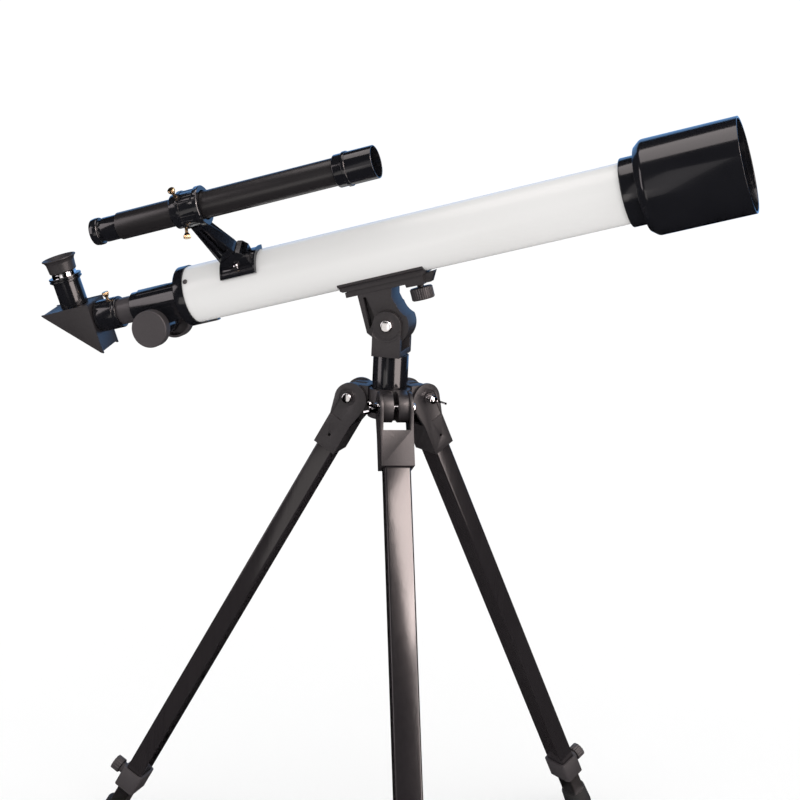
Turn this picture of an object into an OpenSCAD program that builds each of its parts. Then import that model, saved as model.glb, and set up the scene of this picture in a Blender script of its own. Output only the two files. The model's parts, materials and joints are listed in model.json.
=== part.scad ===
// Small refractor telescope on an altazimuth fork and three-legged stand.
// Millimetres. +Z is up, and the floor is z = 0.
// The tube points towards +X and is raised by tube_tilt.

/* [Main tube] */
// outer diameter of the main tube
tube_d = 55; // [50:1:60]
// wall of the main tube
tube_wall = 1.5; // [1:0.1:2]
// distance from the altitude pivot to the rear end of the main tube
tube_rear = 187; // [186:0.5:188]
// distance from the altitude pivot to the front end of the main tube
tube_front = 252; // [250:1:253]
// height of the tube axis above the altitude pivot
axis_h = 68; // [67.8:0.1:68.5]
// upward tilt of the tube at rest, degrees
tube_tilt = 17.2; // [10:0.1:30]

/* [Dew shield] */
// outer diameter of the dew shield
dew_d = 86.4; // [84:0.2:90]
// wall of the dew shield
dew_wall = 2; // [1.6:0.1:2.5]
// distance from the altitude pivot to the dew shield mouth
dew_front = 349; // [330:1:360]

/* [Finder] */
// outer diameter of the finder tube
finder_d = 25.6; // [24:0.2:26]
// distance between the finder axis and the main tube axis
finder_h = 97; // [96:0.5:98]
// how far the finder sits round the tube from the top, degrees
finder_turn = 34; // [0:1:45]

/* [Focuser] */
// outer diameter of the draw tube
draw_d = 26; // [25.8:0.1:26]
// diameter of the focus knobs
knob_d = 36; // [30:1:38]
// distance between the outer faces of the focus knobs
knob_span = 69; // [66:1:72]
// outer diameter of the eyepiece and diagonal barrels
barrel_d = 24.5; // [24.3:0.05:24.5]
// lean of the diagonal round the draw tube, degrees
diagonal_turn = 8; // [0:1:30]

/* [Fork and column] */
// outer diameter of the column
column_d = 33.4; // [32:0.2:34]
// width of the fork across both cheeks
fork_w = 40; // [39:0.5:42]
// diameter of the altitude bolt
alt_bolt_d = 8; // [6:0.5:9]

/* [Stand] */
// spread of each leg from the vertical, degrees
leg_spread = 28.3; // [24:0.1:30]
// length of a leg from its hinge to the middle of its foot, collapsed
leg_len = 560; // [540:1:600]
// width of a leg, along its hinge
leg_w = 24.6; // [24:0.1:24.6]
// depth of a leg
leg_d = 18; // [17:0.1:18]
// distance from the column axis to each leg hinge
hinge_r = 36.5; // [36.5:0.1:38]
// direction of the first leg, degrees from +X
leg_turn = -65; // [-75:1:-60]

/* [Hidden] */
$fn = 72;

// colours
black_gloss = [0.05, 0.05, 0.055];
black_satin = [0.09, 0.09, 0.095];
white_paint = [0.93, 0.92, 0.9];
steel = [0.8, 0.8, 0.82];
brass = [0.8, 0.62, 0.36];
glass_tint = [0.7, 0.85, 0.85, 0.5];
rubber_black = [0.06, 0.06, 0.06];

// clearances
eps = 0.01;
fit_gap = 0.05;
press_gap = 0.02;
face_gap = 0.2;

// stand heights
foot_r = 14;
pivot_drop = 73.5;
foot_flat = 13;
// the leg's middle line runs this far outside its hinge
leg_off = -4.5;
hinge_z = leg_len * cos(leg_spread) - leg_off * sin(leg_spread) + foot_flat;
pivot_z = hinge_z + pivot_drop;
// the column stands off the origin, which is the middle of the whole object's box
column_x = 14.88;
column_y = 12.99;

// column and hub, heights from the hinges
col_r = column_d / 2;
col_bore_r = 11;
col_top = 43.7;
col_bottom = -12;
hub_top = 11.5;
hub_low = -16;
hub_r = 20;
ear_gap = 5;
plate_in = leg_w / 2 + 0.3;
plate_out = plate_in + 2.9;
ear_out = plate_in - 0.25;
hinge_bolt_r = 3;
hinge_hole_r = hinge_bolt_r + fit_gap;

// leg stations, measured down the leg from its hinge
sleeve_start = 22.5;
sleeve_end = 56;
upper_start = 28;
upper_end = 505;
leg_wall = 1.5;
clamp_start = 488;
clamp_end = 512;
lower_start = 70;
slot_r = 1.6;

// fork, heights from the altitude pivot
cheek_t = 5.6;
cheek_half = 13.6;
fork_base_top = -24;
fork_base_low = -29.6;
arm_half = fork_w / 2 - cheek_t - face_gap;
alt_r = alt_bolt_d / 2;
arm_disc_r = 19.5;

// optical tube
tube_r = tube_d / 2;
tube_in = tube_r - tube_wall;
dew_r = dew_d / 2;
cell_start = 241;
cell_end = 268;
cell_r = 31.2;
lens_r = 25;
ring_end = 10.5;
finder_r = finder_d / 2;
draw_r = draw_d / 2;
barrel_r = barrel_d / 2;
ring_screw_x = -tube_rear + 3.5;
focuser_rear = -252;
pinion_x = -228;
pinion_r = 6.5;
pinion_teeth = 21;
// the rack's pitch line lies this far under the tube axis
rack_z = -14.45;
pinion_z = rack_z - pinion_r;
draw_rear = -272;
collar_screw_x = -277.5;
tooth_pitch = 2 * PI * pinion_r / pinion_teeth;
diag_front = -292;
eyepiece_x = -314;
ring_screw_turns = [58, 178, 298];
finder_screw_turns = [40, 160, 280];
finder_screw_x = -151.5;
base_screws = [[-127.5, -11.9], [-120.5, 11.9]];

// ---------- frames ----------

module at_hub() {
    translate([column_x, column_y, hinge_z]) children();
}

module at_pivot() {
    translate([column_x, column_y, pivot_z]) children();
}

// leg frame: origin at the hinge, X outwards, Y along the hinge, -Z down the leg
module at_leg(i) {
    at_hub()
    rotate([0, 0, leg_turn + 120 * i])
    translate([hinge_r, 0, 0])
    rotate([0, -leg_spread, 0]) children();
}

// tube frame: origin at the altitude pivot, X along the tube, Z square to it
module at_scope() {
    at_pivot() rotate([0, -tube_tilt, 0]) children();
}

// axis frame: origin on the tube axis above the pivot
module at_axis() {
    at_scope() translate([0, 0, axis_h]) children();
}

// a solid of revolution round the X axis from [x, r] points
module spin_x(points) {
    rotate([0, 90, 0]) rotate_extrude() polygon([for (p = points) [p[1], p[0]]]);
}

module ring_x(x0, x1, r_out, r_in) {
    spin_x([[x0, r_in], [x1, r_in], [x1, r_out], [x0, r_out]]);
}

module rod_x(x0, x1, r) {
    translate([x0, 0, 0]) rotate([0, 90, 0]) cylinder(h = x1 - x0, r = r);
}

module rod_y(y0, y1, r) {
    translate([0, y0, 0]) rotate([-90, 0, 0]) cylinder(h = y1 - y0, r = r);
}

// a flat outline in X and Z, from y0 to y1
module slab_y(y0, y1) {
    translate([0, y1, 0]) rotate([90, 0, 0]) linear_extrude(height = y1 - y0) children();
}

// a flat outline in X and Y, from z0 to z1
module slab_z(z0, z1) {
    translate([0, 0, z0]) linear_extrude(height = z1 - z0) children();
}

module round_rect(w, d, r) {
    hull() for (x = [-1, 1], y = [-1, 1])
        translate([x * (w / 2 - r), y * (d / 2 - r)]) circle(r = r, $fn = 32);
}

// ---------- column and hub ----------

module column() {
    slit_w = 1.6;
    slit_turn = 215;
    slit_low = 10;
    color(black_gloss) at_hub() difference() {
        translate([0, 0, col_bottom]) cylinder(h = col_top - col_bottom, r = col_r);
        translate([0, 0, col_bottom - 1]) cylinder(h = col_top - col_bottom + 2, r = col_bore_r);
        rotate([0, 0, slit_turn]) translate([0, -slit_w / 2, slit_low])
            cube([col_r + 2, slit_w, col_top - slit_low - 9]);
    }
}

// outline of one hub arm in its radial plane, heights from the hinge
module arm_outline() {
    nose_r = 13.6;
    nose_x = hinge_r - 4;
    nose_z = -0.6;
    root_x = hub_r - 3;
    low = hub_low + 1.5;
    polygon(concat([[root_x, low], [nose_x - 2, low]],
        [for (a = [-75:7.5:90]) [nose_x + nose_r * cos(a), nose_z + nose_r * sin(a)]],
        [[root_x, nose_z + nose_r]]));
}

module hub() {
    color(black_satin) at_hub() difference() {
        union() {
            translate([0, 0, hub_low]) cylinder(h = hub_top - hub_low, r = hub_r);
            for (i = [0:2]) rotate([0, 0, leg_turn + 120 * i]) difference() {
                slab_y(-ear_out, ear_out) arm_outline();
                translate([hub_r + 3, -ear_gap / 2, hub_low - 1]) cube([40, ear_gap, 40]);
                translate([hinge_r, 0, 0]) rod_y(-20, 20, hinge_bolt_r + press_gap);
            }
        }
        translate([0, 0, hub_low - 1]) cylinder(h = hub_top - hub_low + 2, r = col_r + press_gap);
    }
}

module bolt_head(r, h) {
    dome = 0.8;
    rotate_extrude() polygon([[0, 0], [r, 0], [r, h - dome], [r - dome, h], [0, h]]);
}

// three hinge bolts, one through each hub arm
module hinge_bolts() {
    head_r = 4.9;
    head_h = 3.2;
    color(steel) at_hub()
    for (i = [0:2]) rotate([0, 0, leg_turn + 120 * i]) translate([hinge_r, 0, 0]) {
        rod_y(-plate_out - 9, plate_out + face_gap, hinge_bolt_r);
        translate([0, plate_out + face_gap, 0]) rotate([-90, 0, 0]) bolt_head(head_r, head_h);
    }
}

// a wing nut with its bore along Z, seated at z = 0
module wing_nut(bore_r) {
    hub_r0 = 5.2;
    hub_h = 6.5;
    wing_t = 2;
    difference() {
        union() {
            rotate_extrude() polygon([[0, 0], [hub_r0, 0], [hub_r0 - 1, hub_h], [0, hub_h]]);
            translate([0, wing_t / 2, 0]) rotate([90, 0, 0]) linear_extrude(height = wing_t)
                for (s = [-1, 1])
                    polygon([[s * 3.5, 1], [s * 6, 1.5], [s * 12, 7], [s * 13, 10], [s * 12, 12.4],
                        [s * 9.5, 12.4], [s * 7.5, 9.5], [s * 3.5, 6]]);
        }
        translate([0, 0, -1]) cylinder(h = hub_h + 2, r = bore_r);
    }
}

module leg_wing_nut(i) {
    turn = [35, -20, 60][i];
    color(steel) at_hub() rotate([0, 0, leg_turn + 120 * i])
        translate([hinge_r, -plate_out - face_gap, 0])
        rotate([90, 0, 0]) rotate([0, 0, turn]) wing_nut(hinge_hole_r);
}

// ---------- legs ----------

module leg_bracket(i) {
    top_r = 16.3;
    top_x = -3.5;
    top_z = 0;
    sleeve_d = 23.4;
    inner_w = leg_w + 2 * press_gap;
    inner_d = leg_d + 2 * press_gap;
    pocket_w = 12.6;
    pocket_t = 1.2;
    pocket_end = 23;
    screw_z = -41.6;
    screw_r = 1.5;
    color(black_satin) at_leg(i) difference() {
        union() {
            for (s = [-1, 1]) {
                y0 = s > 0 ? plate_in : -plate_out;
                slab_y(y0, y0 + plate_out - plate_in) {
                    translate([top_x, top_z]) circle(r = top_r);
                    polygon([[top_x + top_r - 0.3, top_z - 3], [leg_off + sleeve_d / 2, -sleeve_start],
                        [leg_off + sleeve_d / 2, -sleeve_end], [leg_off - sleeve_d / 2, -sleeve_end],
                        [leg_off - sleeve_d / 2, -sleeve_start], [top_x - top_r + 0.3, top_z - 3]]);
                }
            }
            translate([leg_off, 0, 0]) slab_z(-sleeve_end, -sleeve_start)
                square([sleeve_d, 2 * plate_in + 2 * eps], center = true);
        }
        translate([leg_off, 0, 0]) slab_z(-sleeve_end - 1, -sleeve_start + 1)
            square([inner_d, inner_w], center = true);
        rod_y(-30, 30, hinge_hole_r);
        for (s = [-1, 1]) translate([0, s * (plate_out - pocket_t / 2), 0])
            slab_y(-pocket_t / 2 - (s < 0 ? 1 : 0), pocket_t / 2 + (s > 0 ? 1 : 0)) {
                circle(r = 8.2);
                translate([-pocket_w / 2, -pocket_end]) square([pocket_w, pocket_end]);
            }
        for (s = [-1, 1]) translate([leg_off + 1.5, 0, screw_z])
            rod_y(s > 0 ? 5 : -30, s > 0 ? 30 : -5, screw_r);
    }
}

module leg_upper(i) {
    corner = 2;
    color(black_satin) at_leg(i) translate([leg_off, 0, 0]) difference() {
        slab_z(-upper_end, -upper_start) round_rect(leg_d, leg_w, corner);
        slab_z(-upper_end - 1, -upper_start + 1)
            round_rect(leg_d - 2 * leg_wall, leg_w - 2 * leg_wall, corner - 1);
    }
}

// inner leg, which slides in the upper one
module leg_lower(i) {
    gap = 0.35;
    corner = 1;
    w = leg_w - 2 * leg_wall - 2 * gap;
    d = leg_d - 2 * leg_wall - 2 * gap;
    color(steel) at_leg(i) translate([leg_off, 0, 0]) difference() {
        slab_z(-leg_len + 8, -lower_start) round_rect(d, w, corner);
        slab_z(-leg_len + 7, -lower_start + 1) round_rect(d - 2.4, w - 2.4, 0.6);
    }
}

module leg_foot(i) {
    w = leg_w - 2 * leg_wall - 0.7;
    d = leg_d - 2 * leg_wall - 0.7;
    boot_h = 22;
    color(rubber_black) difference() {
        at_leg(i) translate([leg_off, 0, -leg_len]) difference() {
            union() {
                sphere(r = foot_r);
                cylinder(h = boot_h, r1 = foot_r, r2 = foot_r - 1);
            }
            slab_z(8, boot_h + 1) square([d + 2 * press_gap, w + 2 * press_gap], center = true);
        }
        // flat sole on the floor
        translate([-leg_len, -leg_len, -20]) cube([2 * leg_len, 2 * leg_len, 20]);
    }
}

// plastic collar at the lower end of the upper leg
module leg_clamp(i) {
    wall = 2.6;
    boss_r = 6;
    boss_h = 6;
    lip = 2.2;
    inner_d = leg_d - 2 * leg_wall;
    inner_w = leg_w - 2 * leg_wall;
    mid = -(clamp_start + clamp_end) / 2;
    color(black_satin) at_leg(i) translate([leg_off, 0, 0]) difference() {
        union() {
            slab_z(-clamp_end, -clamp_start) round_rect(leg_d + 2 * wall, leg_w + 2 * wall, 3);
            translate([leg_d / 2 + wall - 1, 0, mid]) rotate([0, 90, 0]) cylinder(h = boss_h, r = boss_r);
        }
        slab_z(-upper_end - press_gap, -clamp_start + 1)
            round_rect(leg_d + 2 * press_gap, leg_w + 2 * press_gap, 2);
        slab_z(-clamp_end - 1, -upper_end + 1) round_rect(inner_d - 0.2, inner_w - 0.2, 1);
        translate([0, 0, mid]) rotate([0, 90, 0]) cylinder(h = 40, r = 2.55);
    }
}

module leg_lock_screw(i) {
    head_r = 8;
    head_x = leg_d / 2 + 8;
    mid = -(clamp_start + clamp_end) / 2;
    tip_x = leg_d / 2 + 0.3;
    flute = 14;
    color(black_satin) at_leg(i) translate([leg_off, 0, mid]) {
        rod_x(tip_x, head_x + 2, 2.5);
        translate([head_x, 0, 0]) rotate([0, 90, 0]) difference() {
            cylinder(h = 9, r = head_r);
            for (k = [0:flute - 1]) rotate([0, 0, k * 360 / flute])
                translate([head_r + 0.6, 0, -1]) cylinder(h = 11, r = 1.2);
        }
    }
}

// ---------- fork ----------

module fork() {
    spigot_low = -64;
    boss_r = 13.6;
    color(black_satin) at_pivot() difference() {
        union() {
            for (s = [-1, 1]) {
                y0 = s > 0 ? fork_w / 2 - cheek_t : -fork_w / 2;
                slab_y(y0, y0 + cheek_t) {
                    circle(r = boss_r);
                    translate([-cheek_half, fork_base_low + 1])
                        square([2 * cheek_half, -fork_base_low - 1]);
                }
            }
            translate([-cheek_half, -fork_w / 2, fork_base_low])
                cube([2 * cheek_half, fork_w, fork_base_top - fork_base_low]);
            translate([0, 0, spigot_low])
                cylinder(h = -spigot_low + fork_base_low + 1, r = col_bore_r - fit_gap);
        }
        rod_y(-fork_w, fork_w, alt_r + press_gap);
        translate([0, 0, spigot_low - 1]) cylinder(h = 30, r = 6);
        // shallow step round the near bolt
        translate([0, -fork_w / 2, 0]) difference() {
            rod_y(-1, 0.5, boss_r + 2);
            rod_y(-2, 1, boss_r - 0.6);
            translate([-30, -3, 0]) cube([60, 6, 30]);
        }
    }
}

module altitude_bolt() {
    head_r = 5.6;
    head_h = 3.4;
    color(steel) at_pivot() {
        rod_y(-fork_w / 2 - face_gap, fork_w / 2 + 11, alt_r);
        translate([0, -fork_w / 2 - 0.05, 0]) rotate([90, 0, 0]) bolt_head(head_r, head_h);
    }
}

module altitude_wing_nut() {
    color(steel) at_pivot() translate([0, fork_w / 2 + face_gap, 0]) rotate([-90, 0, 0]) rotate([0, 0, 25])
        wing_nut(alt_r + fit_gap);
}

// ---------- altitude arm and saddle ----------

module arm_side() {
    top = 33;
    difference() {
        union() {
            circle(r = arm_disc_r);
            polygon([[-22.2, top], [-22.2, -3], [-18, -8], [0, -8], [15.5, 12], [11, 19], [9.6, 25],
                [11.6, top]]);
        }
        translate([31.5, 19]) circle(r = 19.4);
    }
}

module altitude_arm() {
    pocket = 7;
    color(black_satin) at_scope() difference() {
        slab_y(-arm_half, arm_half) arm_side();
        for (s = [-1, 1]) translate([0, s * (arm_half - pocket / 2), 0])
            slab_y(-pocket / 2 - (s < 0 ? 1 : 0), pocket / 2 + (s > 0 ? 1 : 0))
                polygon([[-17.5, 30], [-18.3, 0], [-13, 7], [-11, 11], [-14.6, 30]]);
        rod_y(-fork_w, fork_w, alt_r + fit_gap);
        // socket for the thumbscrew end
        translate([-4, 0, 20]) cylinder(h = 20, r = 3.2);
    }
}

// outline of the saddle in its long section
module saddle_side() {
    polygon([[-33.7, 33], [25, 33], [25.6, 30], [42.5, 29.7], [42.5, 38.5], [-33.7, 38.5]]);
}

module saddle_block() {
    half = 13.5;
    lug_x = 42.5;
    stud_hole_r = 3.2;
    color(black_satin) at_scope() difference() {
        union() {
            slab_y(-half, half) saddle_side();
            slab_y(-5, 5)
                polygon([[lug_x - 1, 30], [lug_x + 5, 30], [lug_x + 10.5, 39.5], [lug_x - 1, 38.4]]);
        }
        translate([35.3, 0, 20]) cylinder(h = 30, r = stud_hole_r + fit_gap);
        translate([-4, 0, 30]) cylinder(h = 20, r = 3.2);
        // shallow dovetail groove under the shoe
        slab_y(-half - 1, half + 1) polygon([[-36, 37.8], [-36, 39], [-30, 39], [-30, 38.2]]);
    }
}

module tube_shoe() {
    half = 17.2;
    low = 38.6;
    color(black_satin) at_scope() difference() {
        slab_y(-half, half)
            polygon([[-37.5, low + 1.5], [-35, low], [44.5, low], [46.3, low + 3], [46.3, 49],
                [-38.5, 49], [-38.5, low + 5]]);
        translate([0, 0, axis_h]) rod_x(-60, 60, tube_r + 0.02);
        for (s = [-1, 1]) translate([0, s * 24, 36]) rotate([s * 20, 0, 0])
            cube([120, 14, 20], center = true);
        translate([35.3, 0, 20]) cylinder(h = 30, r = 3.25);
    }
}

module saddle_knob() {
    head_r = 10.8;
    flutes = 30;
    color(steel) at_scope() translate([35.3, 0, 0]) {
        translate([0, 0, 26]) cylinder(h = 13.6, r = 3.2);
        translate([0, 0, 15.3]) difference() {
            rotate_extrude() polygon([[0, 0], [head_r - 1, 0], [head_r, 1], [head_r, 10.6],
                [head_r - 1, 11.6], [0, 11.6]]);
            for (k = [0:flutes - 1]) rotate([0, 0, k * 360 / flutes])
                translate([head_r + 0.35, 0, -1]) cylinder(h = 14, r = 0.75, $fn = 16);
        }
    }
}

// ---------- optical tube ----------

module main_tube() {
    hole_r = 1.6;
    color(white_paint) at_axis() difference() {
        ring_x(-tube_rear, tube_front, tube_r, tube_in);
        for (a = ring_screw_turns) rotate([a, 0, 0]) translate([ring_screw_x, 0, 0])
            cylinder(h = 40, r = hole_r);
    }
}

module lens_cell() {
    lip_r = 24;
    color(black_gloss) at_axis()
        spin_x([[cell_start, tube_r + press_gap], [cell_start, cell_r - 1], [cell_start + 1, cell_r],
            [cell_end, cell_r], [cell_end, lens_r + 0.1], [tube_front + 2, lens_r + 0.1],
            [tube_front + 2, lip_r], [tube_front + press_gap, lip_r],
            [tube_front + press_gap, tube_r + press_gap]]);
}

// crown and flint elements with a thin air gap
module objective() {
    crown_x = 262;
    crown_ball = 180;
    flint_ball = 150;
    color(glass_tint) at_axis() {
        intersection() {
            rod_x(257.6, crown_x + 1, lens_r);
            translate([crown_x - crown_ball, 0, 0]) sphere(r = crown_ball, $fn = 200);
        }
        difference() {
            rod_x(tube_front + 2.1, 257.4, lens_r);
            translate([257.4 + flint_ball - 1.5, 0, 0]) sphere(r = flint_ball, $fn = 200);
        }
    }
}

module lens_retainer() {
    x0 = 262.6;
    color(black_satin) at_axis() difference() {
        spin_x([[x0, 23.4], [x0, lens_r + 0.05], [x0 + 3, lens_r + 0.05], [x0 + 3, 24]]);
        for (a = [0, 180]) rotate([a, 0, 0]) translate([x0 + 2, -1, 22]) cube([3, 2, 4]);
    }
}

module dew_shield() {
    rear = 256;
    rear_r = 38.4;
    straight = 265.5;
    dew_in = dew_r - dew_wall;
    color(black_gloss) at_axis() spin_x([
        [rear, cell_r + press_gap], [rear, rear_r - 1], [rear + 0.4, rear_r],
        [rear + 2.2, rear_r + 1.9], [rear + 4.6, rear_r + 3.4], [rear + 7, rear_r + 4.2],
        [straight, dew_r], [dew_front - 0.6, dew_r], [dew_front, dew_r - 0.5],
        [dew_front, dew_in + 0.3], [dew_front - 0.4, dew_in],
        [straight + 3, dew_in], [rear + 5, cell_r + 5.5], [rear + 3, cell_r + 4], [rear + 3, cell_r + 1.5],
        [cell_end - 1, cell_r + 1.5], [cell_end - 1, cell_r + press_gap]]);
}

// ---------- focuser ----------

module focuser_housing() {
    ring_r = 28.7;
    barrel_out = 15.3;
    rear = focuser_rear;
    x0 = -tube_rear - ring_end;
    insert_end = -tube_rear + 10;
    boss_y = 15;
    boss_r = pinion_r + 4.2;
    rack_w = 7;
    color(black_gloss) at_axis() difference() {
        union() {
            spin_x([[x0, 0], [x0, ring_r - 1.2], [x0 + 1.2, ring_r], [-tube_rear - press_gap, ring_r],
                [-tube_rear - press_gap, tube_in - press_gap], [insert_end, tube_in - press_gap],
                [insert_end, tube_in - 2.4], [x0 + 3.5, tube_in - 2.4], [x0 + 3.5, 0]]);
            spin_x([[rear, 0], [rear, barrel_out - 0.8], [rear + 0.8, barrel_out],
                [x0 - 5, barrel_out], [x0 - 2, barrel_out + 0.8], [x0 + 1, barrel_out + 3], [x0 + 1, 0]]);
            // flat pads along the barrel
            for (a = [20, 150]) rotate([a, 0, 0]) translate([rear + 8, -4, barrel_out - 2])
                cube([45, 8, 2.8]);
            // pinion housing
            translate([pinion_x, 0, pinion_z]) rod_y(-boss_y, boss_y, boss_r);
            slab_y(-boss_y, boss_y)
                polygon([[pinion_x - boss_r, pinion_z], [pinion_x + boss_r, pinion_z],
                    [x0 + 1, -19], [x0 + 1, -5], [pinion_x - 13, -5]]);
            // lower tab under the tube
            translate([x0 + 1, -4, -tube_r - 1.7]) cube([27, 8, 1.5]);
            translate([x0 + 1, -4, -tube_r - 1.7]) cube([ring_end - 2, 8, 4]);
        }
        rod_x(-300, -160, draw_r + fit_gap);
        // rack and pinion space
        translate([rear - 1, -rack_w / 2, -16.4]) cube([80, rack_w, 10]);
        translate([pinion_x, 0, pinion_z]) rod_y(-rack_w / 2, rack_w / 2, pinion_r + 1.4);
        translate([pinion_x, 0, pinion_z]) rod_y(-30, 30, 2.5 + fit_gap);
        for (a = ring_screw_turns) rotate([a, 0, 0]) translate([ring_screw_x, 0, 0]) {
            cylinder(h = 40, r = 1.55);
            translate([0, 0, tube_r]) cylinder(h = 10, r = 2.4);
        }
        // keyway along the barrel
        translate([-212, -2.2, 13.5]) cube([12, 4.4, 3]);
    }
}

module ring_screws() {
    color(black_satin) at_axis()
    for (a = ring_screw_turns) rotate([a, 0, 0]) translate([ring_screw_x, 0, 0]) {
        translate([0, 0, tube_in - 2.4]) cylinder(h = tube_wall + 3, r = 1.5);
        translate([0, 0, tube_r + 0.05]) bolt_head(2.3, 1.5);
    }
}

// one rack tooth outline, middle at x
function rack_tooth(x) = [[x - 0.62, -13.9], [x - 0.22, -15], [x + 0.22, -15], [x + 0.62, -13.9]];

module draw_tube() {
    front = -158;
    rear = draw_rear;
    rack_from = pinion_x - 13;
    teeth = 39;
    color(black_satin) at_axis() {
        difference() {
            ring_x(rear, front, draw_r, draw_r - 1.2);
            translate([rear, 0, 0]) rod_x(-2, 3, draw_r - 1);
        }
        slab_y(-2.5, 2.5) {
            polygon([[rack_from - 1, -12.6], [rack_from - 1, -13.9],
                [rack_from + teeth * tooth_pitch, -13.9], [rack_from + teeth * tooth_pitch, -12.6]]);
            for (k = [0:teeth - 1]) polygon(rack_tooth(pinion_x + (k - 6) * tooth_pitch));
        }
    }
}

module pinion_shaft() {
    // one tooth outline, from the pitch circle outwards
    tooth_side = [[-2, -0.55], [-1.3, -0.55], [0, -0.36], [0.5, -0.16],
        [0.5, 0.16], [0, 0.36], [-1.3, 0.55], [-2, 0.55]];
    color(steel) at_axis() translate([pinion_x, 0, pinion_z]) {
        rod_y(-knob_span / 2 + 3, knob_span / 2 - 3, 2.5);
        slab_y(-3, 3) {
            circle(r = pinion_r - 1.2);
            for (k = [0:pinion_teeth - 1]) rotate(k * 360 / pinion_teeth + 90 + 180 / pinion_teeth)
                polygon([for (p = tooth_side) [pinion_r + p[0], p[1]]]);
        }
    }
}

// s is -1 for the near knob and 1 for the far one
module focus_knob(s) {
    r = knob_d / 2;
    t = 11;
    color(black_satin) at_axis()
    translate([pinion_x, s * knob_span / 2, pinion_z]) rotate([s * 90, 0, 0]) difference() {
        union() {
            rotate_extrude()
                polygon([[0, 0], [r - 1.5, 0], [r - 0.4, 0.5], [r, 1.6], [r, t - 1], [r - 1, t], [0, t]]);
            cylinder(h = t + 4, r = 7);
        }
        translate([0, 0, 2]) cylinder(h = t + 10, r = 2.5 + press_gap);
        // hollow back
        translate([0, 0, 3.5]) difference() {
            cylinder(h = t, r = r - 2.5);
            translate([0, 0, -1]) cylinder(h = t + 2, r = 7);
        }
    }
}

module draw_collar() {
    rear = diag_front + 0.3;
    front = -267.5;
    r = 15.6;
    color(black_gloss) at_axis() difference() {
        spin_x([[rear, 0], [rear, r - 1], [rear + 1, r], [front - 4.5, r], [front - 4.2, r - 0.8],
            [front - 3.6, r - 0.8], [front - 3.3, r], [front - 1, r], [front, r - 1], [front, 0]]);
        rod_x(rear - 1, front + 1, barrel_r + fit_gap);
        rod_x(draw_rear - press_gap, front + 1, draw_r + press_gap);
        rotate([12, 0, 0]) translate([collar_screw_x, 0, 0]) cylinder(h = 30, r = 1.55);
    }
}

// a small brass thumbscrew along Z, its tip at z = 0
module thumbscrew(shank, head_r, head_h) {
    flutes = 16;
    cylinder(h = shank + 1, r = 1.5);
    translate([0, 0, shank]) difference() {
        rotate_extrude() polygon([[0, 0], [1.9, 0], [head_r, head_h - 2.2], [head_r, head_h - 0.5],
            [head_r - 0.5, head_h], [0, head_h]]);
        for (k = [0:flutes - 1]) rotate([0, 0, k * 360 / flutes])
            translate([head_r + 0.2, 0, head_h - 2.4]) cylinder(h = 4, r = 0.45, $fn = 16);
    }
}

module collar_screw() {
    color(brass) at_axis() rotate([12, 0, 0]) translate([collar_screw_x, 0, barrel_r + 0.3])
        thumbscrew(5.3, 3.4, 5);
}

// ---------- diagonal and eyepiece ----------

module at_diagonal() {
    at_axis() rotate([diagonal_turn, 0, 0]) children();
}

module diagonal_side(grow) {
    x1 = diag_front + grow * 0.3;
    z1 = 17 + grow * 0.3;
    polygon([[x1, z1], [x1, -31 - grow * 2], [x1 - 2, -31 - grow * 1.2], [x1 - 50, z1 - 2 - grow * 0.1],
        [x1 - 49.5 - grow * 2, z1]]);
}

module diagonal_housing() {
    half = 19;
    plate_t = 2.2;
    cavity = 15.5;
    front_wall = 2.5;
    nose_bore = 10.8;
    color(black_satin) at_diagonal() {
        // barrel, screwed into the front wall
        ring_x(diag_front - front_wall + 0.1, draw_rear - 0.6, barrel_r, nose_bore);
        difference() {
            union() {
                slab_y(-half + plate_t - eps, half - plate_t + eps) diagonal_side(0);
                for (s = [-1, 1]) {
                    y0 = s > 0 ? half - plate_t : -half;
                    slab_y(y0, y0 + plate_t) diagonal_side(1);
                }
            }
            slab_y(-cavity, cavity) polygon([[diag_front - front_wall, 14.5],
                [diag_front - front_wall, -21], [diag_front - 37.5, 14.5]]);
            rod_x(diag_front - 10, diag_front + 4, barrel_r + press_gap);
            translate([eyepiece_x, 0, 10]) cylinder(h = 20, r = 11.2);
            // seat of the mirror
            slab_y(-cavity, cavity) polygon([[diag_front - 37.5, 14.5], [diag_front - front_wall, -21],
                [diag_front - 5.2, -23.5], [diag_front - 40.2, 12]]);
        }
    }
}

module diagonal_mirror() {
    half = 15.2;
    color(steel) at_diagonal() slab_y(-half, half)
        polygon([[diag_front - 37, 13.4], [diag_front - 3.4, -20.7], [diag_front - 5.3, -22.6],
            [diag_front - 38.9, 11.5]]);
}

module eyepiece_holder() {
    z0 = 17.4;
    r = 13.6;
    flange = 16.2;
    color(black_gloss) at_diagonal() translate([eyepiece_x, 0, 0]) rotate_extrude()
        polygon([[11.2, z0], [r, z0], [r, 42], [r + 0.9, 42.4], [r + 0.9, 43.2], [flange, 43.4],
            [flange, 44.9], [flange - 1, 45.1], [flange - 1, 45.9], [flange, 46.1], [flange, 47.4],
            [flange - 0.4, 47.8], [barrel_r + fit_gap, 47.8], [barrel_r + fit_gap, 20], [11.2, 20]]);
}

module eyepiece_barrel() {
    color(steel) at_diagonal() translate([eyepiece_x, 0, 0]) rotate_extrude()
        polygon([[11.3, 20.6], [barrel_r - 0.4, 20.6], [barrel_r, 21], [barrel_r, 52], [11.3, 52]]);
}

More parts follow.
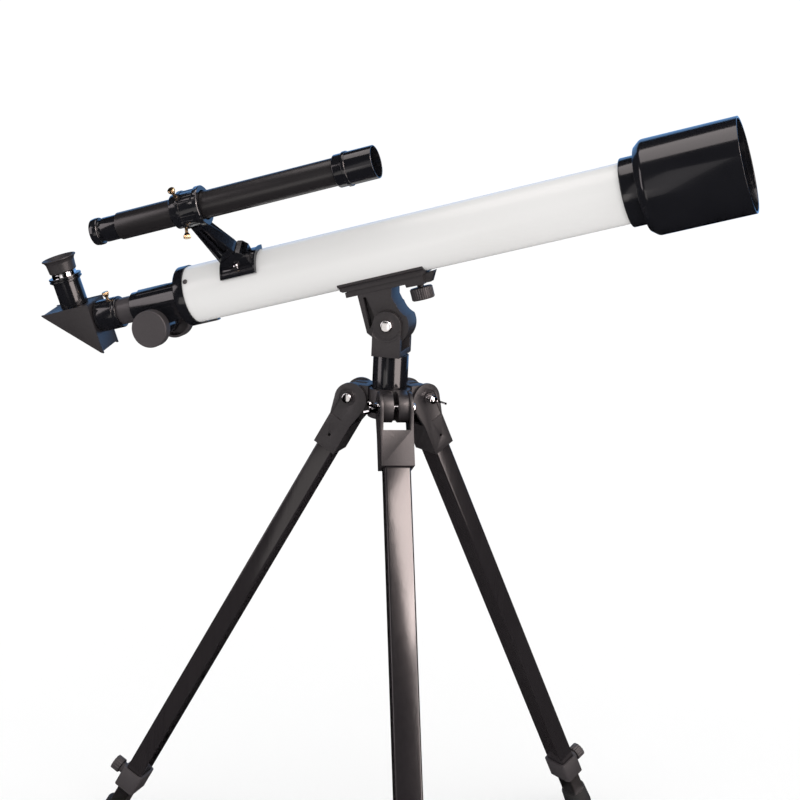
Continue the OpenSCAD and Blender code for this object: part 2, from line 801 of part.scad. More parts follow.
module eyepiece_body() {
    z0 = 52.05;
    color(black_satin) at_diagonal() translate([eyepiece_x, 0, 0]) rotate_extrude()
        polygon([[11.3, z0], [12.6, z0], [13.5, z0 + 0.9], [13.9, z0 + 6], [14.3, z0 + 9.5],
            [15.4, z0 + 12], [16.8, z0 + 13.3], [17, z0 + 14], [16.6, z0 + 14.6], [15.6, z0 + 14.6],
            [11, z0 + 12], [5, z0 + 9.6], [5, z0 + 5], [11.3, z0 + 4]]);
}

// field lens and eye lens
module eyepiece_lens() {
    color(glass_tint) at_diagonal() translate([eyepiece_x, 0, 0]) {
        translate([0, 0, 24]) cylinder(h = 2.5, r = 11.25);
        translate([0, 0, 57.1 + 0.1]) cylinder(h = 3, r = 4.95);
    }
}

// ---------- finder ----------

// finder frame: round the tube axis by finder_turn, Z towards the finder
module at_finder_side() {
    at_axis() rotate([finder_turn, 0, 0]) children();
}

module at_finder() {
    at_finder_side() translate([0, 0, finder_h]) children();
}

module finder_bracket() {
    pad_in = tube_r + 0.03;
    pad_out = tube_r + 3;
    pad_x0 = -145;
    pad_x1 = -109;
    pad_angle = 40;
    bore = 14;
    color(black_gloss) at_finder_side() difference() {
        union() {
            // curved pad on the tube
            intersection() {
                ring_x(pad_x0, pad_x1, pad_out, pad_in);
                slab_x_wedge(pad_x0, pad_x1, pad_angle, pad_out + 2);
            }
            // lip round the pad's ends
            for (x = [pad_x0, pad_x1 - 1.6]) intersection() {
                ring_x(x, x + 1.6, pad_out + 1.1, pad_in);
                slab_x_wedge(x, x + 1.6, pad_angle, pad_out + 3);
            }
            // foot block and leaning post
            slab_y(-9, 9)
                polygon([[-142.5, 29.5], [-115, 29.5], [-115, 37], [-119, 42], [-123, 43], [-142.5, 34]]);
            slab_y(-7.5, 7.5)
                polygon([[-142, 30], [-123, 40], [-125, 46.5], [-141, 80.5], [-151, 80.5]]);
            // ring
            translate([0, 0, finder_h])
                spin_x([[-160, bore], [-160, 15.4], [-159.4, 16], [-152.6, 16.3], [-152.4, 17.9],
                    [-149.6, 17.9], [-149.4, 17.1], [-135, 17.1], [-134.8, 18.5], [-130.8, 18.5],
                    [-130.2, 17.9], [-130.2, bore]]);
        }
        // grooves down both sides of the post
        for (s = [-1, 1]) translate([0, s * 6.6, 0]) slab_y(-2, 2) {
            polygon([[-141.4, 38], [-137.6, 42], [-145.6, 76], [-148.8, 76]]);
            polygon([[-135, 44], [-127.6, 47.5], [-140.4, 76], [-143.8, 76]]);
        }
        translate([0, 0, finder_h]) rod_x(-170, -120, bore);
        for (a = finder_screw_turns) translate([0, 0, finder_h]) rotate([a - finder_turn, 0, 0])
            translate([finder_screw_x, 0, 0]) cylinder(h = 30, r = 1.55);
        for (p = base_screws) translate([p[0], p[1], 20]) cylinder(h = 20, r = 1.6 + press_gap);
    }
}

// a wedge round the X axis, symmetric about +Z, half angle a
module slab_x_wedge(x0, x1, a, r) {
    far = r * 1.6;
    translate([x0, 0, 0]) rotate([0, 90, 0]) linear_extrude(height = x1 - x0)
        polygon([[0, 0], [-far * cos(a), -far * sin(a)], [-far * 1.4, -far * 0.3],
            [-far * 1.4, far * 0.3], [-far * cos(a), far * sin(a)]]);
}

module finder_base_screws() {
    color(steel) at_finder_side() for (p = base_screws)
        translate([p[0], p[1], 0]) {
            translate([0, 0, 25.6]) cylinder(h = 5, r = 1.6);
            translate([0, 0, 30.5]) bolt_head(2.6, 1.8);
        }
}

module finder_tube() {
    color(black_satin) at_finder() ring_x(-218, 13, finder_r, finder_r - 1.2);
}

module finder_cell() {
    x0 = 2;
    color(black_satin) at_finder() spin_x([[x0, finder_r + press_gap], [x0, 14.4], [x0 + 0.6, 15],
        [10.8, 15], [11, 16], [14.2, 16], [14.4, 15.1], [39, 15.1], [39.8, 14.5], [39.8, 13.6], [19, 13.2], [19, 12],
        [13.05, 12], [13.05, finder_r + press_gap]]);
}

module finder_objective() {
    color(glass_tint) at_finder() intersection() {
        rod_x(19.1, 23.2, 13.1);
        translate([23.2 - 90, 0, 0]) sphere(r = 90, $fn = 160);
    }
}

module finder_eyepiece() {
    slide_r = finder_r - 1.2 - 0.05;
    color(black_satin) at_finder() spin_x([[-205, 9], [-205, slide_r], [-233.6, slide_r], [-234, 11.2],
        [-234, 9.9], [-237.4, 9.9], [-237.6, 12], [-239, 12.8], [-244.4, 12.6], [-246, 11.4],
        [-246, 8.5], [-243, 6.5], [-236, 6], [-236, 9]]);
}

module finder_eye_lens() {
    color(glass_tint) at_finder() rod_x(-233.8, -230, 8.95);
}

module finder_screw(k) {
    color(brass) at_finder() rotate([finder_screw_turns[k] - finder_turn, 0, 0])
        translate([finder_screw_x, 0, finder_r + 0.05]) thumbscrew(9.5, 3.5, 5);
}

hub();
column();
hinge_bolts();
fork();
altitude_bolt();
altitude_wing_nut();
leg_bracket(0);  // leg_bracket_1
leg_bracket(1);  // leg_bracket_2
leg_bracket(2);  // leg_bracket_3
leg_upper(0);  // leg_upper_1
leg_upper(1);  // leg_upper_2
leg_upper(2);  // leg_upper_3
leg_lower(0);  // leg_lower_1
leg_lower(1);  // leg_lower_2
leg_lower(2);  // leg_lower_3
leg_foot(0);  // leg_foot_1
leg_foot(1);  // leg_foot_2
leg_foot(2);  // leg_foot_3
leg_clamp(0);  // leg_clamp_1
leg_clamp(1);  // leg_clamp_2
leg_clamp(2);  // leg_clamp_3
leg_lock_screw(0);  // leg_lock_screw_1
leg_lock_screw(1);  // leg_lock_screw_2
leg_lock_screw(2);  // leg_lock_screw_3
leg_wing_nut(0);  // leg_wing_nut_1
leg_wing_nut(1);  // leg_wing_nut_2
leg_wing_nut(2);  // leg_wing_nut_3
altitude_arm();
saddle_block();
tube_shoe();
saddle_knob();
main_tube();
focuser_housing();
ring_screws();
lens_cell();
objective();
lens_retainer();
dew_shield();
finder_bracket();
finder_base_screws();
finder_tube();
finder_cell();
finder_objective();
finder_eyepiece();
finder_eye_lens();
finder_screw(0);  // finder_screw_1
finder_screw(1);  // finder_screw_2
finder_screw(2);  // finder_screw_3
draw_tube();
draw_collar();
collar_screw();
pinion_shaft();
focus_knob(-1);  // focus_knob_near
focus_knob(1);  // focus_knob_far
diagonal_housing();
diagonal_mirror();
eyepiece_holder();
eyepiece_barrel();
eyepiece_body();
eyepiece_lens();
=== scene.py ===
import json
import math

import bmesh
import bpy
from mathutils import Matrix, Vector


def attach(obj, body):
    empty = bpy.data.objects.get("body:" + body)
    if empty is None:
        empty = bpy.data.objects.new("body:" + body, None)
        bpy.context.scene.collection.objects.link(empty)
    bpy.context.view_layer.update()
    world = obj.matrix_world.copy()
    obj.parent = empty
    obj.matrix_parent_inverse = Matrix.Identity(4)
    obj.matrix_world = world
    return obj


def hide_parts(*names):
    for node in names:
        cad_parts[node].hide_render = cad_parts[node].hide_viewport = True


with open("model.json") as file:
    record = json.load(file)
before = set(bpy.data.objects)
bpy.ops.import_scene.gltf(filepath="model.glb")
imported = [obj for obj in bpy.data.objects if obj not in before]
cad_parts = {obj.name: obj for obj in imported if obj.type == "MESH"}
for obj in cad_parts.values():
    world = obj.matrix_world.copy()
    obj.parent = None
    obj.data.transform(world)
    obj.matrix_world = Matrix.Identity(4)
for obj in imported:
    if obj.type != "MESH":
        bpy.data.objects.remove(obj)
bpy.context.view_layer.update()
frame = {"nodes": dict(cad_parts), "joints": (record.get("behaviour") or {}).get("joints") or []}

# millimetres and degrees below, as on the drawings of the part
MM = 0.001
TUBE_TILT = math.radians(17.2)
AXIS_HEIGHT = 68
DIAGONAL_LEAN = math.radians(8)
FINDER_LEAN = math.radians(34)
FINDER_HEIGHT = 97
EYEPIECE_AT = -314

# distances along the tube from the tilt bolt, and radii
TUBE_REAR = -187
TUBE_FRONT = 252
TUBE_R = 27.5
CELL_REAR = 241
CELL_FRONT = 268
CELL_R = 31.2
SHIELD_REAR = 256
SHIELD_FRONT = 349
SHIELD_R = 43.2
FINDER_R = 12.8
COLLAR_REAR = -291.7
COLLAR_FRONT = -267.5
COLLAR_R = 15.6
DRAW_TUBE_REAR = -272
BARREL_R = 12.25
KNOB_R = 18
KNOB_FACE = 34.5
PINION_X = -228
PINION_Z = -20.95

JOINTS = {joint["name"]: joint for joint in frame["joints"]}
PIVOT = Vector(JOINTS["altitude_tilt"]["pos_m"])

# frames in millimetres: along the tube at the bolt, on the tube's axis, and so on
SCOPE = Matrix.Translation(PIVOT) @ Matrix.Rotation(-TUBE_TILT, 4, "Y") @ Matrix.Scale(MM, 4)
AXIS = SCOPE @ Matrix.Translation((0, 0, AXIS_HEIGHT))
DIAGONAL = AXIS @ Matrix.Rotation(DIAGONAL_LEAN, 4, "X")
FINDER = AXIS @ Matrix.Rotation(FINDER_LEAN, 4, "X") @ Matrix.Translation((0, 0, FINDER_HEIGHT))


# ---------------------------------------------------------------- camera

CAMERA_AZIMUTH = math.radians(15.5)
CAMERA_ELEVATION = math.radians(13.0)
CAMERA_ROLL = math.radians(2.57)
CAMERA_DISTANCE = 1.58974
CAMERA_AIM = (0.01026, -0.07189)
SENSOR_MM = 36
LENS_MM = 76.5


def place_camera():
    sa, ca = math.sin(CAMERA_AZIMUTH), math.cos(CAMERA_AZIMUTH)
    se, ce = math.sin(CAMERA_ELEVATION), math.cos(CAMERA_ELEVATION)
    back = Vector((sa * ce, -ca * ce, se))
    right = Vector((ca, sa, 0))
    up = back.cross(right)
    aim = PIVOT + right * CAMERA_AIM[0] + up * CAMERA_AIM[1]
    sr, cr = math.sin(CAMERA_ROLL), math.cos(CAMERA_ROLL)
    cam_right = right * cr + up * sr
    cam_up = up * cr - right * sr
    rot = Matrix((cam_right, cam_up, back)).transposed().to_4x4()
    data = bpy.data.cameras.new("camera")
    data.sensor_width = SENSOR_MM
    data.lens = LENS_MM
    data.clip_end = 50
    cam = bpy.data.objects.new("camera", data)
    bpy.context.scene.collection.objects.link(cam)
    cam.matrix_world = Matrix.Translation(aim + back * CAMERA_DISTANCE) @ rot
    bpy.context.scene.camera = cam


place_camera()


# ---------------------------------------------------------------- materials

class Value:
    """A number that varies over a surface, with the usual arithmetic."""

    def __init__(self, look, socket):
        self.look = look
        self.socket = socket

    def _op(self, operation, a, b):
        return self.look.number("ShaderNodeMath", {"operation": operation}, {0: a, 1: b})

    def __add__(self, other):
        return self._op("ADD", self, other)

    __radd__ = __add__

    def __sub__(self, other):
        return self._op("SUBTRACT", self, other)

    def __rsub__(self, other):
        return self._op("SUBTRACT", other, self)

    def __mul__(self, other):
        return self._op("MULTIPLY", self, other)

    __rmul__ = __mul__

    def above(self, limit, width=0.05):
        """0 below the limit, 1 above it, with a soft step between."""
        step = {0: self, 1: limit - width, 2: limit + width}
        return self.look.number("ShaderNodeMapRange", {"interpolation_type": "SMOOTHSTEP"}, step)


class Look:
    """One material and its nodes."""

    def __init__(self, name, **constants):
        self.material = bpy.data.materials.new(name)
        self.material.use_nodes = True
        self.tree = self.material.node_tree
        self.shader = self.tree.nodes["Principled BSDF"]
        for socket, value in constants.items():
            self.shader.inputs[socket.replace("_", " ")].default_value = value
        self.object_at = self.node("ShaderNodeTexCoord").outputs["Object"]

    def node(self, kind, settings=None, inputs=None):
        made = self.tree.nodes.new(kind)
        for key, value in (settings or {}).items():
            setattr(made, key, value)
        for key, value in (inputs or {}).items():
            if isinstance(value, Value):
                value = value.socket
            if isinstance(value, bpy.types.NodeSocket):
                self.tree.links.new(value, made.inputs[key])
            else:
                made.inputs[key].default_value = value
        return made

    def number(self, kind, settings, inputs):
        return Value(self, self.node(kind, settings, inputs).outputs[0])

    def turned(self, vector, rotation, scale):
        inputs = {"Vector": vector, "Rotation": rotation, "Scale": scale}
        return self.node("ShaderNodeMapping", {"vector_type": "POINT"}, inputs).outputs[0]

    def along(self, turn_y, stretch):
        """Object coordinates turned about Y to run along a piece, then stretched."""
        turned = self.turned(self.object_at, (0, turn_y, 0), (1, 1, 1))
        return self.turned(turned, (0, 0, 0), stretch)

    def noise(self, scale, detail=3.0, rough=0.5, vector=None):
        place = vector or self.object_at
        inputs = {"Vector": place, "Scale": scale, "Detail": detail, "Roughness": rough}
        return self.number("ShaderNodeTexNoise", {}, inputs)

    def cells(self, scale):
        inputs = {"Vector": self.object_at, "Scale": scale}
        return self.number("ShaderNodeTexVoronoi", {}, inputs)

    def blend(self, amount, low, high):
        """A colour between low and high."""
        return self.node("ShaderNodeMix", {"data_type": "RGBA"}, {0: amount, 6: low, 7: high}).outputs[2]

    def colour(self, socket):
        self.tree.links.new(socket, self.shader.inputs["Base Color"])

    def feed(self, name, value):
        self.tree.links.new(value.socket, self.shader.inputs[name])

    def bump(self, height, strength, distance):
        inputs = {"Height": height, "Strength": strength, "Distance": distance}
        made = self.node("ShaderNodeBump", {}, inputs)
        self.tree.links.new(made.outputs[0], self.shader.inputs["Normal"])


def gloss_black():
    look = Look("gloss_black_moulding", IOR=1.5, Coat_Weight=0.35, Coat_Roughness=0.04)
    wide = look.noise(18, 3)
    fine = look.noise(900, 2)
    dust = look.noise(260, 5, 0.65).above(0.66, 0.03)
    look.colour(look.blend(wide, (0.006, 0.006, 0.008, 1), (0.013, 0.013, 0.016, 1)))
    look.feed("Roughness", 0.11 + 0.07 * wide + 0.1 * dust)
    look.bump(fine * 0.6 + wide * 0.5, 0.08, 0.0004)
    return look.material


def satin_black(name, turn_y, tone, rough):
    """Satin anodised metal with fine drawn lines along the piece."""
    look = Look(name, IOR=1.5, Coat_Weight=0.15, Coat_Roughness=0.2)
    drawn = look.noise(240, 4, 0.6, look.along(turn_y, (0.03, 1, 1)))
    patch = look.noise(14, 4)
    spot = look.noise(420, 4, 0.7).above(0.7, 0.02)
    low = (0.013 * tone, 0.011 * tone, 0.012 * tone, 1)
    high = (0.028 * tone, 0.024 * tone, 0.026 * tone, 1)
    look.colour(look.blend(patch * 0.5 + drawn * 0.5, low, high))
    look.feed("Roughness", rough + 0.1 * patch + 0.06 * drawn + 0.12 * spot)
    look.bump(drawn, 0.12, 0.0003)
    return look.material


def cast_black(name, tone, grain, rough):
    """Moulded or powder-coated black with a fine spark grain."""
    look = Look(name, IOR=1.48)
    grains = look.cells(grain)
    speckle = look.noise(grain * 0.7, 3)
    patch = look.noise(22, 4)
    rub = look.noise(60, 5, 0.7).above(0.68, 0.06)
    low = (0.024 * tone, 0.02 * tone, 0.0215 * tone, 1)
    high = (0.046 * tone, 0.039 * tone, 0.042 * tone, 1)
    look.colour(look.blend(patch * 0.6 + grains * 0.5, low, high))
    look.feed("Roughness", rough + 0.12 * patch - 0.1 * rub)
    look.bump(grains * 0.7 + speckle * 0.5, 0.3, 0.00025)
    return look.material


def white_enamel():
    look = Look("white_enamel", IOR=1.5, Specular_IOR_Level=0.2, Coat_Weight=0.12,
                Coat_Roughness=0.06)
    wide = look.noise(7, 3)
    peel = look.noise(330, 2)
    speck = look.noise(700, 4, 0.7).above(0.76, 0.015)
    base = look.blend(wide, (0.79, 0.775, 0.76, 1), (0.84, 0.83, 0.82, 1))
    look.colour(look.blend(speck * 0.25, base, (0.45, 0.43, 0.40, 1)))
    look.feed("Roughness", 0.2 + 0.08 * wide + 0.2 * speck)
    look.bump(peel, 0.06, 0.0005)
    return look.material


def bright_metal(name, colour, rough, scratch=0.15):
    look = Look(name, Metallic=1.0)
    lines = look.noise(500, 4, 0.6, look.along(0.4, (0.05, 1, 1)))
    patch = look.noise(90, 4)
    dull = look.noise(300, 5, 0.7).above(0.62, 0.08)
    dark = tuple(c * 0.72 for c in colour) + (1,)
    look.colour(look.blend(patch * 0.5 + dull * 0.3, colour + (1,), dark))
    look.feed("Roughness", rough + scratch * lines * 0.5 + 0.12 * dull)
    look.bump(lines, 0.1, 0.0002)
    return look.material


def rubber():
    look = Look("black_rubber", IOR=1.45)
    grain = look.noise(1300, 3)
    dusty = look.noise(35, 5, 0.65)
    look.colour(look.blend(dusty, (0.014, 0.014, 0.015, 1), (0.038, 0.037, 0.036, 1)))
    look.feed("Roughness", 0.55 + 0.25 * dusty)
    look.bump(grain, 0.35, 0.0004)
    return look.material


def coated_glass(name, tint):
    look = Look(name, IOR=1.52, Transmission_Weight=0.9, Coat_Weight=1.0, Coat_Roughness=0.01)
    film = look.noise(26, 2)
    smear = look.noise(120, 4, 0.6).above(0.62, 0.06)
    look.colour(look.blend(film, tint + (1,), tuple(c * 0.8 for c in tint) + (1,)))
    look.feed("Roughness", 0.015 + 0.05 * smear)
    look.bump(film, 0.02, 0.0002)
    return look.material


GLOSS = gloss_black()
LEG_SATIN = satin_black("satin_black_leg", math.pi / 2, tone=1.1, rough=0.05)
TUBE_SATIN = satin_black("satin_black_tube", TUBE_TILT, tone=0.9, rough=0.24)
CAST = cast_black("cast_black", 0.95, 1300, 0.36)
DRAW_SATIN = satin_black("satin_black_draw", TUBE_TILT, tone=2.6, rough=0.3)
KNOB = cast_black("moulded_black", 1.5, 1800, 0.5)
SHADE_INSIDE = cast_black("flat_black_lining", 0.8, 1600, 0.7)
ENAMEL = white_enamel()
CHROME = bright_metal("bright_chrome", (0.86, 0.86, 0.88), 0.06)
STEEL = bright_metal("drawn_aluminium", (0.62, 0.62, 0.64), 0.28, 0.3)
BRASS = bright_metal("polished_brass", (0.86, 0.62, 0.36), 0.16)
RUBBER = rubber()
LENS = coated_glass("coated_lens", (0.82, 0.95, 0.93))
SILVER = bright_metal("silvered_mirror", (0.92, 0.92, 0.94), 0.02, 0.02)


# ---------------------------------------------------------------- mesh tools

def clear_selection():
    if bpy.context.object and bpy.context.object.mode != "OBJECT":
        bpy.ops.object.mode_set(mode="OBJECT")
    bpy.ops.object.select_all(action="DESELECT")


def make_active(obj):
    clear_selection()
    obj.select_set(True)
    bpy.context.view_layer.objects.active = obj


def smooth(obj, degrees):
    """Shades smoothly across every edge that is blunter than the angle."""
    make_active(obj)
    bpy.ops.object.shade_smooth_by_angle(angle=math.radians(degrees))


def fillet(points, default, steps=4):
    """Rounds the corners of a closed outline of (x, r) or (x, r, radius) points."""
    rounded = []
    n = len(points)
    for k in range(n):
        here = Vector(points[k][:2])
        radius = points[k][2] if len(points[k]) > 2 else default
        before = Vector(points[k - 1][:2]) - here
        after = Vector(points[(k + 1) % n][:2]) - here
        if radius <= 0 or before.length < 1e-6 or after.length < 1e-6:
            rounded.append(here)
            continue
        half = before.angle(after) / 2
        if half > math.radians(88):
            rounded.append(here)
            continue
        cut = min(radius / math.tan(half), before.length * 0.48, after.length * 0.48)
        radius = cut * math.tan(half)
        mid = here + (before.normalized() + after.normalized()).normalized() * (radius / math.sin(half))
        a = here + before.normalized() * cut - mid
        b = here + after.normalized() * cut - mid
        sweep = a.angle_signed(b)
        for s in range(steps + 1):
            t = -sweep * s / steps
            c, d = math.cos(t), math.sin(t)
            rounded.append(mid + Vector((a.x * c - a.y * d, a.x * d + a.y * c)))
    return rounded


def lathe(name, place, points, material, default=0.25, turns=96):
    """Spins a closed outline of (distance, radius) points about a frame's X axis."""
    outline = fillet(points, default)
    mesh = bpy.data.meshes.new(name)
    shape = bmesh.new()
    verts = [shape.verts.new((p.x, 0, p.y)) for p in outline]
    for k in range(len(verts)):
        shape.edges.new((verts[k], verts[(k + 1) % len(verts)]))
    shape.to_mesh(mesh)
    shape.free()
    obj = bpy.data.objects.new(name, mesh)
    bpy.context.scene.collection.objects.link(obj)
    make_active(obj)
    bpy.ops.object.mode_set(mode="EDIT")
    bpy.ops.mesh.select_all(action="SELECT")
    bpy.ops.mesh.spin(steps=turns, angle=2 * math.pi, center=(0, 0, 0), axis=(1, 0, 0))
    bpy.ops.mesh.select_all(action="SELECT")
    bpy.ops.mesh.remove_doubles(threshold=0.0005)
    bpy.ops.mesh.normals_make_consistent(inside=False)
    bpy.ops.object.mode_set(mode="OBJECT")
    mesh.transform(place)
    mesh.materials.append(material)
    smooth(obj, 34)
    return obj


def upright(place):
    """The frame turned so that its Z is the spin axis."""
    return place @ Matrix.Rotation(-math.pi / 2, 4, "Y")


def finish_piece(obj, body, node):
    """The piece rides on a body and stands for a CAD node."""
    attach(obj, body)
    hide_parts(node)


def coat(mesh, material):
    """One material over the whole mesh."""
    mesh.materials.clear()
    mesh.materials.append(material)
    for polygon in mesh.polygons:
        polygon.material_index = 0


def soften(node, material, body, width=0.35, segments=2):
    """A merged copy of a CAD piece with its hard edges rounded over."""
    mesh = frame["nodes"][node].data.copy()
    mesh.name = node + "_finished"
    obj = bpy.data.objects.new(mesh.name, mesh)
    bpy.context.scene.collection.objects.link(obj)
    coat(mesh, material)
    make_active(obj)
    bpy.ops.object.mode_set(mode="EDIT")
    bpy.ops.mesh.select_all(action="SELECT")
    bpy.ops.mesh.remove_doubles(threshold=0.000002)
    bpy.ops.mesh.dissolve_limited(angle_limit=math.radians(0.8))
    bpy.ops.object.mode_set(mode="OBJECT")
    bevel = obj.modifiers.new("edges", "BEVEL")
    bevel.width = width * MM
    bevel.segments = segments
    bevel.limit_method = "ANGLE"
    bevel.angle_limit = math.radians(32)
    bevel.use_clamp_overlap = True
    bpy.ops.object.modifier_apply(modifier="edges")
    smooth(obj, 30)
    finish_piece(obj, body, node)


def paint(node, material):
    """A CAD piece that stays, with its finish."""
    coat(frame["nodes"][node].data, material)


# ---------------------------------------------------------------- stand

def build_stand():
    """The stand and the head, with their edges rounded over."""
    soften("hub", CAST, "stand", 0.7, 3)
    soften("column", GLOSS, "stand", 0.3)
    soften("fork", CAST, "fork_head", 0.5, 3)
    soften("altitude_arm", CAST, "telescope", 0.5, 3)
    soften("saddle_block", CAST, "telescope", 0.5)
    soften("tube_shoe", CAST, "telescope", 0.5)
    soften("altitude_wing_nut", CHROME, "altitude_nut", 0.4)
    soften("hinge_bolts", CHROME, "stand", 0.3)
    soften("altitude_bolt", CHROME, "fork_head", 0.3)
    for n in (1, 2, 3):
        leg = f"leg_{n}"
        soften(f"leg_bracket_{n}", CAST, leg, 0.45)
        soften(f"leg_upper_{n}", LEG_SATIN, leg, 0.3)
        soften(f"leg_clamp_{n}", KNOB, leg, 0.5)
        soften(f"leg_lower_{n}", STEEL, f"leg_lower_{n}", 0.2)
        soften(f"leg_lock_screw_{n}", KNOB, f"leg_lock_{n}", 0.3)
        soften(f"leg_wing_nut_{n}", CHROME, f"hinge_nut_{n}", 0.4)
        paint(f"leg_foot_{n}", RUBBER)


def build_tube():
    bore = 26
    tube = lathe("enamelled_tube", AXIS, [
        (TUBE_REAR, bore), (TUBE_REAR, TUBE_R), (TUBE_FRONT, TUBE_R), (TUBE_FRONT, bore)],
        ENAMEL, 0.2, 128)
    finish_piece(tube, "telescope", "main_tube")
    lens_seat = 25.1
    cell = lathe("lens_cell_ring", AXIS, [
        (CELL_REAR, TUBE_R + 0.02, 0.1), (CELL_REAR, CELL_R, 1.1), (CELL_FRONT, CELL_R, 0.3),
        (CELL_FRONT, lens_seat, 0.2), (TUBE_FRONT + 2, lens_seat, 0.1), (TUBE_FRONT + 2, 24, 0.1),
        (TUBE_FRONT + 0.02, 24, 0.1), (TUBE_FRONT + 0.02, TUBE_R + 0.02, 0.1)], GLOSS, turns=128)
    finish_piece(cell, "telescope", "lens_cell")
    inside = SHIELD_R - 2
    lining = CELL_R + 1.5
    shield = lathe("dew_shield_shell", AXIS, [
        (SHIELD_REAR, CELL_R + 0.02, 0.1), (SHIELD_REAR, 38.0, 0.5), (262.5, SHIELD_R, 6.0),
        (SHIELD_FRONT - 0.3, SHIELD_R, 0.3), (SHIELD_FRONT, SHIELD_R - 0.8, 0.2),
        (SHIELD_FRONT - 0.4, inside, 0.3), (268.5, inside, 2.0), (259, 35.5, 1.5), (259, lining, 0.3),
        (CELL_FRONT - 1, lining, 0.2), (CELL_FRONT - 1, CELL_R + 0.02, 0.1)], GLOSS, turns=144)
    finish_piece(shield, "telescope", "dew_shield")
    paint("lens_retainer", SHADE_INSIDE)
    paint("objective", LENS)
    paint("ring_screws", KNOB)


def build_finder():
    bore = FINDER_R - 1.2
    tube = lathe("finder_barrel", FINDER, [
        (-218, bore), (-218, FINDER_R), (13, FINDER_R), (13, bore)], TUBE_SATIN, 0.15)
    finish_piece(tube, "telescope", "finder_tube")
    cell = lathe("finder_front_cell", FINDER, [
        (2, FINDER_R + 0.02, 0.1), (2, 15, 0.9), (10.8, 15, 0.2), (11, 16, 0.4), (14.2, 16, 0.4),
        (14.4, 15.1, 0.2), (39.8, 15.1, 0.6), (39.8, 13.9, 0.4), (19, 13.2, 0.2), (19, 12, 0.1),
        (13.05, 12, 0.1), (13.05, FINDER_R + 0.02, 0.1)], GLOSS)
    finish_piece(cell, "telescope", "finder_cell")
    eye = lathe("finder_eye_shell", FINDER, [
        (-205, 9, 0.1), (-205, 11.55, 0.1), (-233.9, 11.55, 0.4), (-233.9, 9.9, 0.3), (-237.5, 9.9, 0.3),
        (-237.6, 12.7, 1.2), (-242, 12.8, 1.0), (-245.9, 12.2, 1.2), (-245.9, 8.6, 0.8), (-243, 6.5, 0.6),
        (-236, 6, 0.2), (-236, 9, 0.1)], GLOSS)
    finish_piece(eye, "finder_eye", "finder_eyepiece")
    soften("finder_bracket", GLOSS, "telescope", 0.35)
    paint("finder_objective", LENS)
    paint("finder_eye_lens", LENS)
    paint("finder_base_screws", CHROME)
    for n in (1, 2, 3):
        soften(f"finder_screw_{n}", BRASS, f"finder_thumbscrew_{n}", 0.15)


def build_focuser():
    soften("focuser_housing", GLOSS, "telescope", 0.5, 3)
    groove = COLLAR_FRONT - 3.5
    seat = DRAW_TUBE_REAR - 0.02
    collar = lathe("draw_collar_ring", AXIS, [
        (COLLAR_REAR, BARREL_R + 0.05, 0.1), (COLLAR_REAR, COLLAR_R, 1.0), (groove - 1, COLLAR_R, 0.3),
        (groove - 0.6, COLLAR_R - 0.8, 0.2), (groove, COLLAR_R - 0.8, 0.2), (groove + 0.4, COLLAR_R, 0.3),
        (COLLAR_FRONT, COLLAR_R, 0.9), (COLLAR_FRONT, 13.02, 0.1), (seat, 13.02, 0.1),
        (seat, BARREL_R + 0.05, 0.1)], GLOSS)
    finish_piece(collar, "draw", "draw_collar")
    paint("draw_tube", DRAW_SATIN)
    paint("pinion_shaft", STEEL)
    soften("collar_screw", BRASS, "collar_thumbscrew", 0.15)
    shaft = 2.52
    hub = 7
    for side, node in ((-1, "focus_knob_near"), (1, "focus_knob_far")):
        place = AXIS @ Matrix.Translation((PINION_X, side * KNOB_FACE, PINION_Z))
        place = place @ Matrix.Rotation(math.pi / 2 * -side, 4, "Z")
        knob = lathe(node + "_disc", place, [
            (0, 0.02, 0), (0, KNOB_R - 0.8, 1.0), (0.8, KNOB_R, 0.8), (10.4, KNOB_R, 0.8),
            (11, KNOB_R - 0.8, 0.5), (11, 15.5, 0.3), (3.5, 15.3, 0.6), (3.5, hub, 0.3), (15, hub, 0.5),
            (15, shaft, 0.2), (2, shaft, 0.1), (2, 0.02, 0)], KNOB, turns=112)
        finish_piece(knob, "focus", node)


def build_diagonal():
    soften("diagonal_housing", CAST, "diagonal", 0.45, 3)
    paint("diagonal_mirror", SILVER)
    stem = upright(DIAGONAL @ Matrix.Translation((EYEPIECE_AT, 0, 0)))
    holder = lathe("eyepiece_socket", stem, [
        (17.4, 11.2, 0.1), (17.4, 13.6, 0.2), (42, 13.6, 0.4), (42.4, 14.6, 0.3), (43.3, 14.6, 0.2),
        (43.4, 16.2, 0.4), (44.9, 16.2, 0.4), (45.1, 15.2, 0.2), (45.9, 15.2, 0.2), (46.1, 16.2, 0.4),
        (47.8, 16.2, 0.5), (47.8, BARREL_R + 0.05, 0.3), (20, BARREL_R + 0.05, 0.1),
        (20, 11.2, 0.1)], GLOSS)
    finish_piece(holder, "diagonal", "eyepiece_holder")
    barrel = lathe("eyepiece_chrome_barrel", stem, [
        (20.6, 11.3, 0.1), (20.6, BARREL_R, 0.3), (50.6, BARREL_R, 0.2), (50.8, 11.9, 0.1),
        (51.2, 11.9, 0.1), (52, BARREL_R, 0.2), (52, 11.3, 0.1)], CHROME)
    finish_piece(barrel, "eyepiece", "eyepiece_barrel")
    body = lathe("eyepiece_shell", stem, [
        (52.05, 11.3, 0.1), (52.05, 12.8, 0.3), (53, 13.5, 0.4), (58.4, 13.9, 0.5), (62, 14.3, 1.5),
        (64.2, 15.4, 1.5), (65.4, 16.9, 0.5), (66.2, 17, 0.4), (66.65, 16.4, 0.4), (66.4, 15.2, 0.6),
        (64, 11, 1.0), (61.6, 5, 0.5), (57.1, 5, 0.2), (56, 11.3, 0.2)], CAST, turns=112)
    finish_piece(body, "eyepiece", "eyepiece_body")
    paint("eyepiece_lens", LENS)


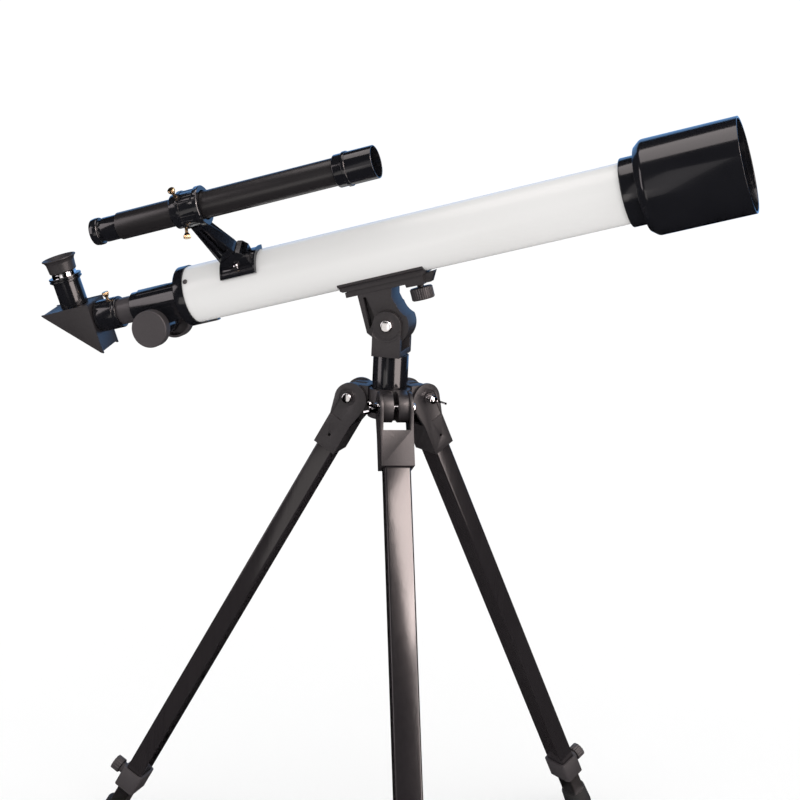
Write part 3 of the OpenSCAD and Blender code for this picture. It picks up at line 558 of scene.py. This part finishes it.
def build_saddle_knob():
    soften("saddle_knob", CAST, "saddle_thumbscrew", 0.2)


build_stand()
build_tube()
build_finder()
build_focuser()
build_diagonal()
build_saddle_knob()


# ---------------------------------------------------------------- surroundings

def build_stage():
    """A plain pale floor."""
    clear_selection()
    bpy.ops.mesh.primitive_plane_add(size=40, location=(0, 0, 0))
    floor = bpy.context.object
    floor.name = "floor"
    look = Look("pale_floor", Roughness=1.0, Specular_IOR_Level=0.0)
    cloud = look.noise(2.5, 3)
    look.colour(look.blend(cloud, (0.95, 0.95, 0.95, 1), (0.97, 0.97, 0.97, 1)))
    floor.data.materials.append(look.material)
    floor.visible_glossy = False


def softbox(name, bearing, rise, distance, width, height, strength, colour=(1, 1, 1), diffuse=False):
    """A rectangular light seen from the head at a bearing (degrees from +X) and a rise above level."""
    a, e = math.radians(bearing), math.radians(rise)
    place = PIVOT + distance * Vector((math.cos(a) * math.cos(e), math.sin(a) * math.cos(e), math.sin(e)))
    data = bpy.data.lights.new(name, "AREA")
    data.shape = "RECTANGLE"
    data.size = width
    data.size_y = height
    data.energy = strength * math.pi * width * height
    data.color = colour
    obj = bpy.data.objects.new(name, data)
    bpy.context.scene.collection.objects.link(obj)
    obj.location = place
    obj.rotation_euler = (PIVOT - place).to_track_quat("-Z", "Y").to_euler()
    obj.visible_camera = False
    obj.visible_diffuse = diffuse
    return obj


def build_light():
    bpy.context.scene.view_settings.view_transform = "Standard"
    world = bpy.data.worlds.new("studio")
    bpy.context.scene.world = world
    world.use_nodes = True
    background = world.node_tree.nodes["Background"]
    background.inputs[0].default_value = (1.0, 1.0, 1.0, 1)
    background.inputs[1].default_value = 1.06
    world.cycles_visibility.glossy = False
    softbox("overhead", -80, 89, 1.9, 2.4, 1.35, 2.3, (1.0, 0.91, 0.9))
    softbox("front_card", -105.5, -13, 1.7, 0.7, 0.7, 0.9, (1.0, 0.94, 0.9))
    softbox("right_panel", -27, 10, 2.0, 1.5, 2.3, 5.5, (1.0, 0.87, 0.84))
    softbox("high_right", -31.5, 44, 2.1, 1.2, 0.9, 15.0, (1.0, 0.85, 0.81))
    softbox("left_strip", -148, 10, 2.0, 0.9, 1.6, 2.4, (1.0, 0.9, 0.92))
    softbox("front_fill", -95, 6, 2.0, 0.5, 1.8, 0.5, (1.0, 0.94, 0.95))
    softbox("back_sky", 95, 14, 1.8, 3.4, 1.6, 1.0, (0.25, 0.52, 1.0))


build_stage()
build_light()
